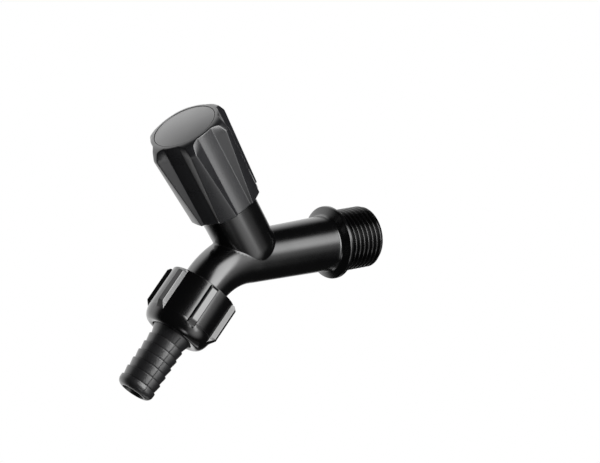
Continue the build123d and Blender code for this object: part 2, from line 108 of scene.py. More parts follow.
def lattice_mesh(name, lattice, ring=False, sharp=38):
    """Mesh on a lattice of points in mm, rows by columns. Columns close on themselves, rows do in a ring, and a row
    drawn in to one point becomes a pole."""
    index = np.arange(lattice.shape[0] * lattice.shape[1]).reshape(lattice.shape[:2])
    index = np.concatenate([index, index[:1]]) if ring else index
    across = np.roll(index, -1, axis=1)
    faces = np.stack([index[:-1], across[:-1], across[1:], index[1:]], -1).reshape(-1, 4)
    mesh = bpy.data.meshes.new(name)
    mesh.from_pydata((lattice.reshape(-1, 3) * mm).tolist(), [], faces.tolist())
    shell = bmesh.new()
    shell.from_mesh(mesh)
    bmesh.ops.remove_doubles(shell, verts=shell.verts, dist=weld_gap)
    bmesh.ops.recalc_face_normals(shell, faces=shell.faces)
    shell.to_mesh(mesh)
    shell.free()
    mesh.shade_smooth()
    mesh.set_sharp_from_angle(angle=radians(sharp))
    return mesh


thread_stop = thread_length - thread_relief
leg_run = pipe_run + bend_run - bend_tangent
leg_thread_run = leg_run + leg_length - leg_thread_length
inlet_rows = dense_line(eased_line(
    [(inlet_depth, 0), (inlet_depth, inlet_bore), (0, inlet_bore), (0, thread_mouth)], inlet_eases), inlet_step)
thread_rows = np.linspace(thread_start, thread_stop, thread_row_count)
pipe_rows = dense_line(eased_line(
    [(thread_stop + thread_gap, thread_root), (thread_length, thread_root),
     (thread_length, flange_radius), (thread_length + flange_rim, flange_radius),
     (thread_length + flange_rim + flange_cone, pipe_radius), (pipe_run, bend_tube),
     (pipe_run + bend_run, leg_radius), (leg_thread_run - leg_gap, leg_radius)],
    pipe_eases, pipe_curve), pipe_step)
leg_rows = np.linspace(leg_thread_run, body_run, leg_row_count)
end_rows = dense_line(eased_line(
    [(body_run, leg_crest - thread_depth - thread_gap), (body_run, outlet_bore),
     (body_run - outlet_depth, outlet_bore), (body_run - outlet_depth, 0)], end_eases), end_step)

turns = np.linspace(0, 2 * pi, body_columns, endpoint=False)
wall_thread = np.minimum(
    screw_radius(thread_rows[:, None], turns[None], thread_crest, thread_depth),
    thread_mouth + thread_rows[:, None] * (thread_crest - thread_mouth) / thread_chamfer)
fade = np.clip((thread_stop - thread_rows[:, None]) / thread_fade, 0, 1)
wall_thread = thread_root + (wall_thread - thread_root) * fade
leg_thread = np.minimum(
    screw_radius(leg_rows[:, None], turns[None], leg_crest, thread_depth),
    leg_crest - thread_depth + (body_run - leg_rows[:, None]) * thread_depth / thread_chamfer)
body_runs = np.concatenate([inlet_rows[:, 0], thread_rows, pipe_rows[:, 0], leg_rows, end_rows[:, 0]])
body_radii = np.concatenate([
    np.repeat(inlet_rows[:, 1:], body_columns, 1), wall_thread, np.repeat(pipe_rows[:, 1:], body_columns, 1),
    leg_thread, np.repeat(end_rows[:, 1:], body_columns, 1)])
centres, ups = centre_line(body_runs)
across_body = np.array([0.0, -1.0, 0.0])
body_lattice = centres[:, None] + body_radii[..., None] * (
    np.cos(turns)[None, :, None] * ups[:, None] + np.sin(turns)[None, :, None] * across_body)
body_mesh = lattice_mesh("body_tube", body_lattice)


# Valve neck: the upright barrel of the same moulding, round the screw-down valve. It ends below in a round bullet
# that stands a little proud of the pipe, with a fine fillet where the two skins meet.
neck_reach, neck_rise, neck_length, neck_radius, neck_top, neck_round = 32.9, radians(59.5), 32.0, 9.45, 9.75, 5.0
neck_bore, neck_bore_depth, neck_fillet, neck_columns = 8.05, 12.0, 0.5, 192
neck_start, neck_row_count, neck_crowd, fillet_row_count, halvings = 0.25, 46, 0.8, 9, 40
sunk_out, sunk_in, heart_height, heart_share = 0.3, 0.1, 1.0, 0.75
rim_bevel, rim_eases, joined_sharp = 0.3, [0.3, 0.2, 0.25], 65
neck_origin = np.array([-neck_reach, 0, 0])
neck_up = np.array([-cos(neck_rise), 0, sin(neck_rise)])
neck_side = np.array([sin(neck_rise), 0, cos(neck_rise)])
cross = np.array([0.0, 1.0, 0.0])
neck_turns = np.linspace(0, 2 * pi, neck_columns, endpoint=False)
neck_out = np.cos(neck_turns)[:, None] * neck_side + np.sin(neck_turns)[:, None] * cross
neck_straight = neck_length - neck_round


def neck_skin(reach):
    """Point and outward normal of the neck by the reach down its side from the rim, one per column: a straight cone,
    then a quarter round of neck_radius about the height neck_round."""
    dip = np.maximum(reach - neck_straight, 0) / neck_radius
    height = neck_length - np.minimum(reach, neck_straight) - neck_radius * np.sin(dip)
    taper = (neck_top - neck_radius) * (1 - np.minimum(reach / neck_straight, 1))
    radius = (neck_radius + taper) * np.cos(dip)
    point = neck_origin + height[..., None] * neck_up + radius[..., None] * neck_out
    normal = np.cos(dip)[..., None] * neck_out - np.sin(dip)[..., None] * neck_up
    return point, normal


def tube_skin(point):
    """Gap from the body's tube and the tube's normal: the nearest run is found on the straight, the arc and the leg
    in turn, and the least of distance minus tube radius is kept."""
    dx = point[..., 0] - (thread_length - pipe_run)
    dz = point[..., 2]
    arc = np.clip(np.arctan2(-dx, dz + bend_radius), 0, outlet_drop)
    leg = -(point[..., 0] + outlet_reach) * cos(outlet_drop) - dz * sin(outlet_drop)
    runs = np.stack([np.clip(thread_length - point[..., 0], 0, pipe_run), pipe_run + bend_radius * arc,
                     np.clip(leg_run + leg, pipe_run + bend_run, body_run)])
    away = point[None] - centre_line(runs)[0]
    far = np.linalg.norm(away, axis=-1)
    gaps = far - np.interp(runs, [thread_length + flange_rim + flange_cone, pipe_run, pipe_run + bend_run],
                           [pipe_radius, bend_tube, leg_radius])
    least = gaps.argmin(0)[None]
    normal = np.take_along_axis(away / far[..., None], least[..., None], 0)[0]
    return np.take_along_axis(gaps, least, 0)[0], normal


low, high = np.zeros(neck_columns), np.full(neck_columns, neck_straight + neck_radius * pi / 2)
for _ in range(halvings):
    middle = (low + high) / 2
    outside = tube_skin(neck_skin(middle)[0])[0] > 0
    low, high = np.where(outside, middle, low), np.where(outside, high, middle)
meet, neck_normal = neck_skin(low)
tube_normal = tube_skin(meet)[1]
lean = (neck_normal * tube_normal).sum(-1, keepdims=True)
ball = meet + neck_fillet * (neck_normal + tube_normal) / (1 + lean)
set_back = np.linalg.norm(ball - neck_fillet * neck_normal - meet, axis=-1)
share = np.linspace(0, 1, neck_row_count)[:, None] ** neck_crowd
side_rows = neck_skin(neck_start + share * (low - set_back - neck_start))[0]
opening = np.arccos(np.clip(lean, -1, 1))
swing = np.linspace(0, 1, fillet_row_count)[1:, None, None]
fillet_rows = ball - neck_fillet * (
    np.sin((1 - swing) * opening) * neck_normal + np.sin(swing * opening) * tube_normal) / np.sin(opening)
outward = neck_normal - lean * tube_normal
outward /= np.linalg.norm(outward, axis=-1, keepdims=True)
sunk_row = fillet_rows[-1] + sunk_out * outward - sunk_in * tube_normal
heart = neck_origin + heart_height * neck_up
inner_row = heart + heart_share * (meet - heart)
rim_line = eased_line([(neck_length - neck_bore_depth, 0), (neck_length - neck_bore_depth, neck_bore),
                       (neck_length, neck_bore), (neck_length, neck_top), (neck_length - rim_bevel, neck_top)],
                      rim_eases)[:-1]
rim_rows = neck_origin + rim_line[:, :1, None] * neck_up + rim_line[:, 1:, None] * neck_out
neck_lattice = np.concatenate([rim_rows, side_rows, fillet_rows, sunk_row[None], inner_row[None],
                               np.broadcast_to(heart, (1, neck_columns, 3))])
neck_mesh = lattice_mesh("neck_barrel", neck_lattice)


def joined_mesh(name, mesh, other):
    """One closed skin of two closed meshes: their union, with the faces that lie inside taken out."""
    first, second = bpy.data.objects.new(name, mesh), bpy.data.objects.new(name + "_other", other)
    for part in (first, second):
        bpy.context.scene.collection.objects.link(part)
    union = first.modifiers.new("union", "BOOLEAN")
    union.operation, union.solver, union.object = "UNION", "EXACT", second
    made = bpy.data.meshes.new_from_object(first.evaluated_get(bpy.context.evaluated_depsgraph_get()))
    for part in (first, second):
        bpy.data.objects.remove(part)
    made.name = name
    made.shade_smooth()
    made.set_sharp_from_angle(angle=radians(joined_sharp))
    return made


def grained_finish(name, colour, roughness, grain=0.05, specular=1.0, coat=0.0):
    """Finish of a moulded or turned piece: colour and roughness clouded a little, at the scale of flow marks in
    plastic, and a fine grain as bump."""
    flow_scale, flow_detail, flow_low, flow_high, tint_swing, rough_swing = 160, 4, 0.3, 0.7, 0.15, 0.03
    grain_scale, grain_detail, grain_depth = 5200, 2, 0.0001
    material = bpy.data.materials.new(name)
    material.use_nodes = True
    tree = material.node_tree
    shader = tree.nodes["Principled BSDF"]
    shader.inputs["Specular IOR Level"].default_value = specular
    shader.inputs["Coat Weight"].default_value, shader.inputs["Coat Roughness"].default_value = coat, roughness
    place = tree.nodes.new("ShaderNodeTexCoord")
    cloud = tree.nodes.new("ShaderNodeTexNoise")
    cloud.inputs["Scale"].default_value = flow_scale
    cloud.inputs["Detail"].default_value = flow_detail
    tree.links.new(place.outputs["Object"], cloud.inputs["Vector"])
    tint = tree.nodes.new("ShaderNodeMix")
    tint.data_type = "RGBA"
    tint.inputs["A"].default_value = (*[c * (1 - tint_swing) for c in colour], 1)
    tint.inputs["B"].default_value = (*[c * (1 + tint_swing) for c in colour], 1)
    tree.links.new(cloud.outputs["Fac"], tint.inputs["Factor"])
    tree.links.new(tint.outputs["Result"], shader.inputs["Base Color"])
    spread = tree.nodes.new("ShaderNodeMapRange")
    spread.inputs["From Min"].default_value = flow_low
    spread.inputs["From Max"].default_value = flow_high
    spread.inputs["To Min"].default_value = roughness - rough_swing
    spread.inputs["To Max"].default_value = roughness + rough_swing
    tree.links.new(cloud.outputs["Fac"], spread.inputs["Value"])
    tree.links.new(spread.outputs["Result"], shader.inputs["Roughness"])
    fine = tree.nodes.new("ShaderNodeTexNoise")
    fine.inputs["Scale"].default_value = grain_scale
    fine.inputs["Detail"].default_value = grain_detail
    tree.links.new(place.outputs["Object"], fine.inputs["Vector"])
    bump = tree.nodes.new("ShaderNodeBump")
    bump.inputs["Strength"].default_value = grain
    bump.inputs["Distance"].default_value = grain_depth
    tree.links.new(fine.outputs["Fac"], bump.inputs["Height"])
    tree.links.new(bump.outputs["Normal"], shader.inputs["Normal"])
    return material


def set_piece(name, mesh, material, body, slot, *replaced):
    """Puts a finished mesh in the scene as a piece that rides on a body and stands for its CAD nodes."""
    made = bpy.data.objects.new(name, mesh)
    bpy.context.scene.collection.objects.link(made)
    made.data.materials.clear()
    made.data.materials.append(material)
    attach(made, body)
    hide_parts(*replaced)


body_black = grained_finish("body_black", (0.0015, 0.0015, 0.0017), 0.19, 0.02, coat=0.35)
set_piece("tap_moulding", joined_mesh("tap_moulding", body_mesh, neck_mesh), body_black,
          "tap_body", "body_plastic", "body")


# Headwork inside the neck: bonnet, spindle and jumper turned from natural acetal rod. They stay as the solids have
# them, because the handle hides them.
headwork_acetal = grained_finish("headwork_acetal", (0.72, 0.71, 0.67), 0.42, specular=0.5)
for name in ("bonnet", "spindle", "jumper"):
    nodes[name].data.materials.clear()
    nodes[name].data.materials.append(headwork_acetal)


# Seals: the bonnet gasket, seat washer, spindle rings and tail gasket, punched or moulded in soft black rubber. Each
# is squeezed between two harder pieces, and stays as the solids have it.
seal_rubber = grained_finish("seal_rubber", (0.02, 0.02, 0.02), 0.75, 0.15, 0.5)
for name in ("bonnet_gasket", "seat_washer", "spindle_o_ring_lower", "spindle_o_ring_upper", "tail_gasket"):
    nodes[name].data.materials.clear()
    nodes[name].data.materials.append(seal_rubber)


# Screws: two pan heads in plain stainless steel. One holds the seat washer on the jumper, and the other holds the
# handle on the spindle, under the cap.
screw_steel = grained_finish("screw_steel", (0.6, 0.6, 0.6), 0.35, specular=0.5)
screw_steel.node_tree.nodes["Principled BSDF"].inputs["Metallic"].default_value = 1
for name in ("washer_screw", "handle_screw"):
    nodes[name].data.materials.clear()
    nodes[name].data.materials.append(screw_steel)


# Handle: a hollow satin black moulding with six ridges that flare upwards and broad grooves between them. Its rounded
# rim holds the cap, and its hub sits on the spindle's square.
handle_base, handle_top, crest_end, ridge_turn, ridges = 22.6, 53.6, 49.8, radians(-4.7), 6
groove_apothem, groove_half = 11.5, 2.75
crest_apothem, crest_half = (12.15, 14.565, 12.727), (2.95, 0.95, 1.5)
crest_ease, groove_ease, shoulder_ease, edge_ease, crest_crown, groove_crown = 0.2, 0.26, 0.7, 0.3, 0.055, 0.115
rim_flat, rim_round, rim_ease, rim_lip = 10.2, 5.0, 0.22, 10.55
handle_bore, web_base, hub_radius, hub_base, hub_floor = 10.15, 49.0, 6.3, 41.3, 47.3
cap_seat, screw_seat, screw_room, screw_hole, square_half = 51.2, 49.0, 4.0, 2.05, 2.85
corner_points, flat_points, shoulder_points, compass_row, handle_sharp = 6, 9, 9, 20, 55
foot_row_count, side_row_count, upper_row_count, shoulder_row_count, rim_row_count = 6, 26, 8, 14, 22
side_start, side_end, upper_start, upper_end = 0.5, 47.0, 47.2, 0.9
shoulder_before, shoulder_after, rim_start, rim_end = 0.75, 0.9, 1.0, 0.1
lip_drop, lip_bevel_drop, lip_bevel, bore_bevel = 0.02, 0.15, 0.12, 0.2


def ridged_rings(apothem, half):
    """Rings of the handle's outline as complex numbers, a row for each crest apothem and half width: six crest flats
    and six groove flats, with each corner C eased to (1-k)^2 A + 2k(1-k) C + k^2 B. Each flat is then lifted by
    its half width times its crown times one minus the square of the share of its span, so all are a little
    round."""
    step = np.exp(1j * (ridge_turn + 2 * pi / ridges * np.arange(ridges)))
    half_step = np.exp(1j * pi / ridges)
    crest = np.stack([apothem - 1j * half, apothem + 1j * half], -1)[:, None] * step[None, :, None]
    groove = np.array([groove_apothem - 1j * groove_half, groove_apothem + 1j * groove_half]) * half_step
    groove = np.broadcast_to(groove[None, None] * step[None, :, None], crest.shape)
    corner = np.concatenate([crest, groove], -1).reshape(len(apothem), -1)
    before, after = np.roll(corner, 1, 1) - corner, np.roll(corner, -1, 1) - corner
    ease = np.tile([crest_ease, crest_ease, groove_ease, groove_ease], ridges)
    a, b = corner + before / abs(before) * ease, corner + after / abs(after) * ease
    k = np.linspace(0, 1, corner_points)
    curve = (1 - k) ** 2 * a[..., None] + 2 * k * (1 - k) * corner[..., None] + k**2 * b[..., None]
    k = np.linspace(0, 1, flat_points)[1:-1]
    flat = (1 - k) * b[..., None] + k * np.roll(a, -1, 1)[..., None]
    ring = np.concatenate([curve, flat], -1).reshape(len(apothem), -1)
    off_crest = abs((np.angle(ring) - ridge_turn + pi / ridges) % (2 * pi / ridges) - pi / ridges)
    crest_span, groove_span = np.arctan(half / apothem)[:, None], atan(groove_half / groove_apothem)
    lift = crest_crown * half[:, None] * np.maximum(1 - (off_crest / crest_span) ** 2, 0)
    lift = lift + groove_crown * groove_half * np.maximum(1 - ((pi / ridges - off_crest) / groove_span) ** 2, 0)
    return ring + ring / abs(ring) * lift


# Rows up the handle, closer together at its foot, round the ends of the crests and at the rim.
heights = np.concatenate([
    handle_base + edge_ease * (1 - np.cos(np.linspace(0, pi / 2, foot_row_count))),
    np.linspace(handle_base + side_start, side_end, side_row_count),
    np.linspace(upper_start, crest_end - upper_end, upper_row_count),
    np.linspace(crest_end - shoulder_before, crest_end + shoulder_after, shoulder_row_count),
    np.linspace(crest_end + rim_start, handle_top - rim_end, rim_row_count)])


def eased_heights(values):
    """A value that runs straight from base to crest end and on to the top, with the corner between the two eased."""
    line = eased_line(list(zip((handle_base, crest_end, handle_top), values)), [shoulder_ease], shoulder_points)
    return np.interp(heights, line[:, 0], line[:, 1])


rings = ridged_rings(eased_heights(crest_apothem), eased_heights(crest_half))
across_rim = rim_flat + np.sqrt(np.maximum(rim_round**2 - np.maximum(heights - handle_top + rim_round, 0) ** 2, 0))
spread_out = abs(rings)
trimmed = (spread_out + across_rim[:, None] - np.hypot(spread_out - across_rim[:, None], rim_ease)) / 2
foot = np.clip(1 - (heights - handle_base) / edge_ease, 0, 1)
trimmed -= edge_ease * (1 - np.sqrt(1 - foot**2))[:, None]
rings = rings / spread_out * trimmed
compass = rings[compass_row] / abs(rings[compass_row])
squared = compass / np.maximum(abs(compass.real), abs(compass.imag))
inner_line = [(handle_top - lip_drop, rim_lip + lip_bevel), (handle_top - lip_bevel_drop, rim_lip),
              (cap_seat, rim_lip), (cap_seat, screw_room), (screw_seat, screw_room), (screw_seat, screw_hole),
              (hub_floor, screw_hole)]
hub_line = [(hub_base, hub_radius), (web_base, hub_radius), (web_base, handle_bore),
            (handle_base + bore_bevel, handle_bore), (handle_base, handle_bore + bore_bevel)]
inner_rows = [(height, radius * compass) for height, radius in inner_line]
inner_rows += [(hub_floor, square_half * squared), (hub_base, square_half * squared)]
inner_rows += [(height, radius * compass) for height, radius in hub_line]
handle_heights = np.concatenate([heights, [row[0] for row in inner_rows]])
handle_rings = np.concatenate([rings, np.stack([row[1] for row in inner_rows])])


def on_neck(heights, rings):
    """Points of rings, given as complex numbers square to the neck, at heights up the neck's axis."""
    return (neck_origin + heights[:, None, None] * neck_up + rings.real[..., None] * neck_side
            + rings.imag[..., None] * cross)


handle_satin = grained_finish("handle_satin", (0.015, 0.0153, 0.0172), 0.29, 0.08, coat=0.5)
handle_mesh = lattice_mesh("ridged_handle", on_neck(handle_heights, handle_rings), ring=True, sharp=handle_sharp)
set_piece("ridged_handle", handle_mesh, handle_satin, "spindle_and_handle", "handle_plastic", "handle")


# Cap: a plain low-domed disc of the same satin plastic, moulded and pressed into the handle's top, where it hides the
# screw. A fine gap shows round it.
cap_radius, cap_edge, cap_dome, cap_columns, dome_row_count = 10.5, 53.5, 0.9, 192, 26
bevel_rise, bevel_inset, dome_rise, dome_inset, cap_eases = 0.02, 0.4, 0.03, 0.45, [0.2, 0.2]
dome = np.linspace(1, 0, dome_row_count)
cap_line = np.concatenate([
    eased_line([(cap_seat, 0), (cap_seat, cap_radius), (cap_edge, cap_radius),
                (cap_edge + bevel_rise, cap_radius - bevel_inset)], cap_eases),
    np.stack([cap_edge + dome_rise + cap_dome * (1 - dome**2), (cap_radius - dome_inset) * dome], -1)])
cap_compass = np.exp(1j * np.linspace(0, 2 * pi, cap_columns, endpoint=False))
cap_satin = grained_finish("cap_satin", (0.015, 0.0153, 0.0172), 0.33, 0.08, coat=0.85)
cap_mesh = lattice_mesh("handle_disc", on_neck(cap_line[:, 0], cap_line[:, 1:] * cap_compass))
set_piece("handle_disc", cap_mesh, cap_satin, "spindle_and_handle", "cap_plastic", "handle_cap")


# Hose tail: a moulding in black glass-filled plastic, with a collar, a cone and six barbs whose sharp shoulders face
# the tap. A fine parting line of its two-part mould runs down each side, and the union nut holds it by the collar.
collar_start, collar_end, collar_radius, shank_radius, shank_end = 25.0, 27.0, 9.2, 6.9, 28.8
collar_lip, collar_eases, tail_step, tail_columns = 0.5, [0.2, 0.2, 0.1, 0.3], 0.25, 240
barbs, first_barb, barb_pitch, barb_radius, barb_step = 6, 32.55, 3.17, 6.3, 0.6
barb_round, barb_undercut, barb_heel, barb_cut, barb_eases = 0.02, 0.5, 0.1, 0.12, [0.15, 0.05, 0.08]
barb_margin, nose_margin, nose_row_count = 0.03, 0.02, 10
nose_land, nose_length, nose_radius, tail_bore = 1.0, 2.14, 4.0, 3.9
tail_bevel, nose_bevel_width, collar_bevel_width = 0.1, 0.03, 0.15
parting_turn, parting_height, parting_width, parting_crowd = radians(-79), 0.09, 0.12, 0.37
parting_start, parting_rise, parting_run_out, parting_depth = 0.4, 0.3, 1.5, 0.4
outlet_origin = np.array([-outlet_reach, 0, 0])
outlet_out = np.array([-cos(outlet_drop), 0, -sin(outlet_drop)])
outlet_side = np.array([-sin(outlet_drop), 0, cos(outlet_drop)])


def on_outlet(lengths, rings):
    """Points of rings, given as complex numbers square to the outlet, at lengths down the outlet's axis."""
    return (outlet_origin + lengths[:, None, None] * outlet_out + rings.real[..., None] * outlet_side
            + rings.imag[..., None] * cross)


shoulders = first_barb + barb_pitch * np.arange(barbs)
barb_foot = barb_radius - barb_step
barb_corners = np.stack([np.repeat(shoulders, 3) - np.tile([barb_undercut, 0, 0], barbs),
                         np.tile([barb_foot + barb_heel, barb_foot - barb_cut, barb_radius], barbs)], -1)
nose_start = shoulders[-1] + nose_land
quarter = np.linspace(0, pi / 2, nose_row_count)
nose = np.stack([nose_start + nose_length * np.sin(quarter),
                 nose_radius + (barb_radius - nose_radius) * np.cos(quarter)], -1)
tail_corners = np.concatenate([
    [(collar_start, collar_radius - collar_lip), (collar_start, collar_radius), (collar_end, collar_radius),
     (collar_end, shank_radius), (shank_end, shank_radius)], barb_corners, nose[:1]])
outer_tail = dense_line(eased_line(tail_corners, collar_eases + barb_eases * barbs), tail_step)
inner_tail = [(nose[-1, 0], tail_bore + nose_bevel_width), (nose[-1, 0] - tail_bevel, tail_bore),
              (collar_start + tail_bevel, tail_bore), (collar_start, tail_bore + collar_bevel_width)]
along_barb = (outer_tail[:, 0] - first_barb) / barb_pitch
share = along_barb % 1
on_barb = (along_barb > barb_margin) & (along_barb < barbs - 1 - nose_margin) & (share > barb_margin)
outer_tail[:, 1] += np.where(on_barb, barb_round * 4 * share * (1 - share), 0)
tail_line = np.concatenate([outer_tail, nose[1:], inner_tail])
even_turns = np.linspace(0, 2 * pi, tail_columns, endpoint=False)
tail_turns = parting_turn + even_turns - parting_crowd * np.sin(2 * even_turns)
off_seam = np.minimum(abs(np.angle(np.exp(1j * (tail_turns - parting_turn)))),
                      abs(np.angle(np.exp(1j * (tail_turns - parting_turn - pi)))))
seam = parting_height * np.exp(-((off_seam * barb_radius / parting_width) ** 2))
seam_rows = np.clip((tail_line[:, 0] - shank_end - parting_start) / parting_rise, 0, 1)
seam_rows *= np.clip((nose[-1, 0] - tail_line[:, 0]) / parting_run_out, 0, 1)
seam_rows *= tail_line[:, 1] > tail_bore + parting_depth
tail_rings = (tail_line[:, 1:] + seam_rows[:, None] * seam) * np.exp(1j * tail_turns)
tail_black = grained_finish("tail_black", (0.013, 0.013, 0.0142), 0.36, 0.16, coat=0.8)
tail_mesh = lattice_mesh("barbed_tail", on_outlet(tail_line[:, 0], tail_rings), ring=True)
set_piece("barbed_tail", tail_mesh, tail_black, "tail", "tail_plastic", "hose_tail")


# Union nut: a sleeve moulded in black glass-filled plastic, with six gripping ribs and a domed end. It screws on the
# outlet leg's thread and clamps the tail's collar, so its bore carries the same right-hand screw.
nut_start, nut_end, nut_radius, nut_dome, nut_end_radius, nut_hole = 10.4, 29.2, 11.65, 5.2, 8.7, 7.2
rib_flat, rib_half, rib_foot, rib_start, rib_stop, rib_slope = 13.15, 1.02, 1.62, 10.85, 23.5, 2.2
rib_turn, ribs, rib_ease_share, no_rib = radians(-8.3), 6, 0.45, -5
rib_ease, nut_edge, nut_lip, nut_step, nut_clearance, collar_room = 0.1, 0.3, 1.2, 0.45, 0.2, 27.0
seam_depth, seam_before, seam_lip, seam_half, dome_points = 0.07, 0.16, 0.1, 0.03, 18
bore_row_count, bore_back, bore_front, bore_stop, bore_fade = 100, 0.3, 0.4, 24.8, 0.8
row_gap, edge_points, wall_points, crown_points, arc_points, nut_sharp = 0.004, 6, 5, 8, 20, 24
hole_mouth, hole_bevel, hole_bevel_drop, hole_drop, bore_mouth, least_wall = 0.5, 0.15, 0.12, 0.5, 0.3, 1e-6
dome_start = nut_end - nut_dome
nut_quarter = np.linspace(0, pi / 2, dome_points)
nut_line = np.concatenate([
    dense_line(eased_line([(nut_start, nut_radius - nut_lip), (nut_start, nut_radius),
                           (dome_start - seam_before, nut_radius)], [nut_edge]), nut_step),
    [(dome_start - seam_lip, nut_radius), (dome_start - seam_half, nut_radius - seam_depth),
     (dome_start + seam_half, nut_radius - seam_depth)],
    np.stack([dome_start + nut_dome * np.sin(nut_quarter),
              nut_end_radius + (nut_radius - nut_end_radius) * np.cos(nut_quarter)], -1)[1:]])
# A rib's height by length, as shares of its full height: a steep face, a rounded edge, the flat, and a long slope.
rib_lengths = np.concatenate([rib_start + np.array([-0.01, 0, 0.7, 0.76, 0.83, 0.95]),
                              rib_stop + np.array([-0.15, 0, 0.1, rib_slope])])
rib_rises = np.array([-2, 0.5, 0.95, 0.975, 0.993, 1, 1, 0.985, 0.94, -0.25]) * (rib_flat - nut_radius)
nut_lengths = np.sort(np.concatenate([nut_line[:, 0], rib_lengths[:-1]]))
nut_lengths = nut_lengths[np.concatenate([[True], np.diff(nut_lengths) > row_gap])]
skin = np.interp(nut_lengths, nut_line[1:, 0], nut_line[1:, 1])
rise = np.interp(nut_lengths, rib_lengths, rib_rises, no_rib, no_rib)
rib_top = np.maximum(nut_radius + rise, 0)


def ribbed_rings(skin, top):
    """Rings of the nut's outline as complex numbers: arcs of radius skin between the ribs, and on each rib the
    corners foot, top, top, foot, eased as (1-k)^2 A + 2k(1-k) C + k^2 B. The top never sinks below the skin."""
    foot = np.sqrt(skin**2 - rib_foot**2)
    top = np.maximum(top, foot)
    lean = np.clip((top - foot) / (rib_flat - nut_radius), 0, 1)
    half = (rib_foot + (rib_half - rib_foot) * lean)[:, None]
    ease = np.minimum(rib_ease, (top - foot) * rib_ease_share)[:, None]
    low, high = foot[:, None] - 1j * rib_foot, top[:, None] - 1j * half
    away = low - high
    a, b = high + away / np.maximum(abs(away), least_wall) * ease, high + 1j * ease
    k = np.linspace(0, 1, edge_points)[None]
    edge = (1 - k) ** 2 * a + 2 * k * (1 - k) * high + k**2 * b
    k = np.linspace(0, 1, wall_points)[None, :-1]
    wall = low * (1 - k) + a * k
    k = np.linspace(-1, 1, crown_points)[None, 1:-1]
    crown = top[:, None] + 1j * (half - ease) * k
    crown = np.maximum(crown.real, np.sqrt(skin[:, None] ** 2 - crown.imag**2)) + 1j * crown.imag
    rib = np.concatenate([wall, edge, crown, edge[:, ::-1].conj(), wall[:, ::-1].conj()], 1)
    start = np.arcsin(rib_foot / skin)[:, None]
    k = np.linspace(0, 1, arc_points)[None, 1:-1]
    arc = skin[:, None] * np.exp(1j * (start * (1 - k) + (2 * pi / ribs - start) * k))
    sector = np.concatenate([rib, arc], 1)
    step = np.exp(1j * (rib_turn + 2 * pi / ribs * np.arange(ribs)))
    return (sector[:, None] * step[None, :, None]).reshape(len(skin), -1)


nut_rings = ribbed_rings(skin, rib_top)
nut_compass = nut_rings[0] / abs(nut_rings[0])
bore_lengths = np.linspace(collar_room - bore_back, nut_start + bore_front, bore_row_count)
bore_run = leg_run + bore_lengths
bore_radii = screw_radius(bore_run[:, None], -np.angle(nut_compass)[None], leg_crest, thread_depth) + nut_clearance
cut_in = np.clip((bore_lengths - nut_start - bore_front) / bore_fade, 0, 1)[:, None]
cut_out = np.clip((bore_stop - bore_lengths) / bore_fade, 0, 1)[:, None]
plain_bore = leg_crest + nut_clearance
bore_radii = plain_bore + (bore_radii - plain_bore) * cut_in * cut_out
end_line = np.array([(nut_end, nut_hole + hole_mouth), (nut_end - hole_bevel_drop, nut_hole + hole_bevel),
                     (nut_end - hole_drop, nut_hole), (collar_room, nut_hole), (collar_room, plain_bore)])
nut_all_lengths = np.concatenate([nut_lengths, end_line[:, 0], bore_lengths, [nut_start]])
nut_all_rings = np.concatenate([nut_rings, end_line[:, 1:] * nut_compass, bore_radii * nut_compass,
                                (plain_bore + bore_mouth) * nut_compass[None]])
nut_black = grained_finish("nut_black", (0.0015, 0.0015, 0.0017), 0.17, 0.02, coat=0.5)
nut_mesh = lattice_mesh("ribbed_nut", on_outlet(nut_all_lengths, nut_all_rings), ring=True, sharp=nut_sharp)
set_piece("ribbed_nut", nut_mesh, nut_black, "nut", "nut_plastic", "union_nut")


# Studio: a pale floor well below the tap, a white backdrop behind it, and a dim room in front. A tall soft lamp
# stands to the right of the camera, with a smaller one beside it, a broad one round it and two below it. One more is
# low on the left, and one behind.
floor_height, floor_half, floor_sides = -2.0, 0.75, ((-1, -1), (1, -1), (1, 1), (-1, 1))
floor_back, floor_colour, floor_rough = (0.2, 0.6), (0.9, 0.9, 0.9, 1), 0.9
backdrop_turn, backdrop_tilt, backdrop_edge = radians(85), radians(8), (0.42, 0.8)
room_glow, backdrop_glow, room_fill = 0.015, 1.0, 0.06
floor_mesh = bpy.data.meshes.new("floor")
floor_mesh.from_pydata([(x * floor_half, y * floor_half, floor_height) for x, y in floor_sides], [], [(0, 1, 2, 3)])
floor = bpy.data.objects.new("floor", floor_mesh)
bpy.context.scene.collection.objects.link(floor)
floor_white = bpy.data.materials.new("floor_white")
floor_white.use_nodes = True
floor_tree = floor_white.node_tree
floor_tree.nodes["Principled BSDF"].inputs["Base Color"].default_value = floor_colour
floor_tree.nodes["Principled BSDF"].inputs["Roughness"].default_value = floor_rough
floor_path = floor_tree.nodes.new("ShaderNodeLightPath")
floor_glow = floor_tree.nodes.new("ShaderNodeEmission")
floor_mix = floor_tree.nodes.new("ShaderNodeMixShader")
floor_place = floor_tree.nodes.new("ShaderNodeTexCoord")
floor_split = floor_tree.nodes.new("ShaderNodeSeparateXYZ")
floor_tree.links.new(floor_place.outputs["Object"], floor_split.inputs["Vector"])
floor_behind = floor_tree.nodes.new("ShaderNodeMapRange")
floor_behind.inputs["From Min"].default_value, floor_behind.inputs["From Max"].default_value = floor_back
floor_tree.links.new(floor_split.outputs["Y"], floor_behind.inputs["Value"])


def combined(tree, operation, first, second):
    """Output of a math node that combines two others."""
    node = tree.nodes.new("ShaderNodeMath")
    node.operation = operation
    tree.links.new(first, node.inputs[0])
    tree.links.new(second, node.inputs[1])
    return node.outputs["Value"]


